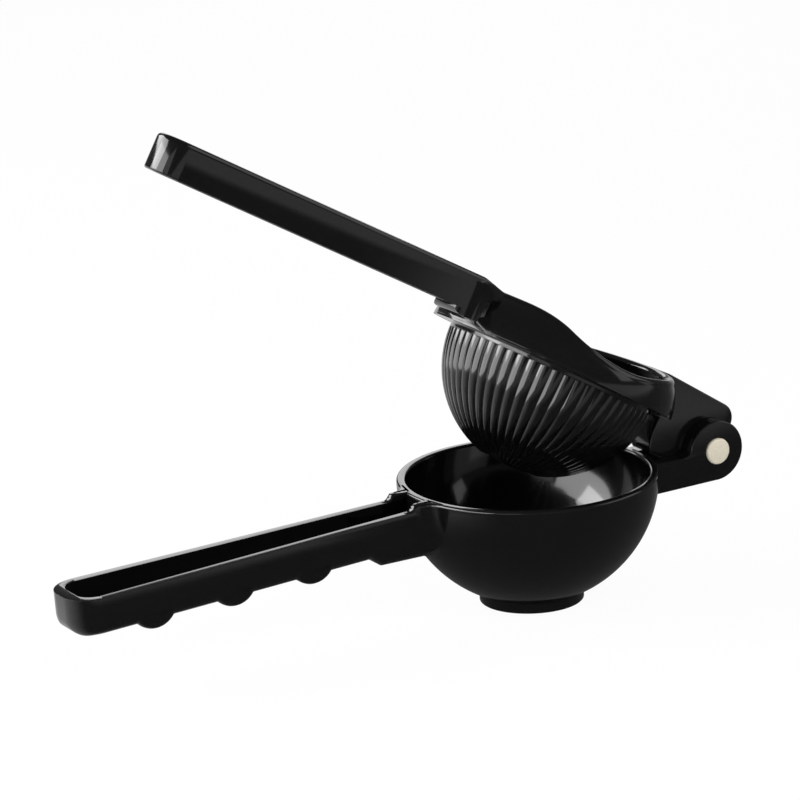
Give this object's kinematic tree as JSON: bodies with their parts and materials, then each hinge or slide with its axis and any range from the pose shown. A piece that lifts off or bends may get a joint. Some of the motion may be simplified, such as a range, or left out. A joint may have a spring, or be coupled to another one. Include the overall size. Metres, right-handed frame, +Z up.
{
  "type": "hinged lemon squeezer",
  "caption": "Hand squeezer for small citrus fruit: a drained bowl with a trough handle and a fluted press cup with a lever handle, joined by a riveted hinge.",
  "frame": {"origin": "on the table, at the centre of the bowl's foot ring", "axes": "+Z up along the bowl's axis, +X to the hinge, both handles along -X, the hinge axis along Y"},
  "size_m": [0.201, 0.07, 0.1411],
  "materials": {
    "enamel": "gloss",
    "rivet": "satin nickel plate"
  },
  "bodies": {
    "bowl_side": {"bowl_casting": "enamel", "hinge_rivet": "rivet"},
    "press_side": {"press_casting": "enamel"}
  },
  "joints": [
    {"name": "hinge", "type": "hinge", "parent": "bowl_side", "child": "press_side", "pos_m": [0.0542, 0, 0.0333], "axis": [0, 1, 0], "range_deg": [-31, 89]}
  ]
}
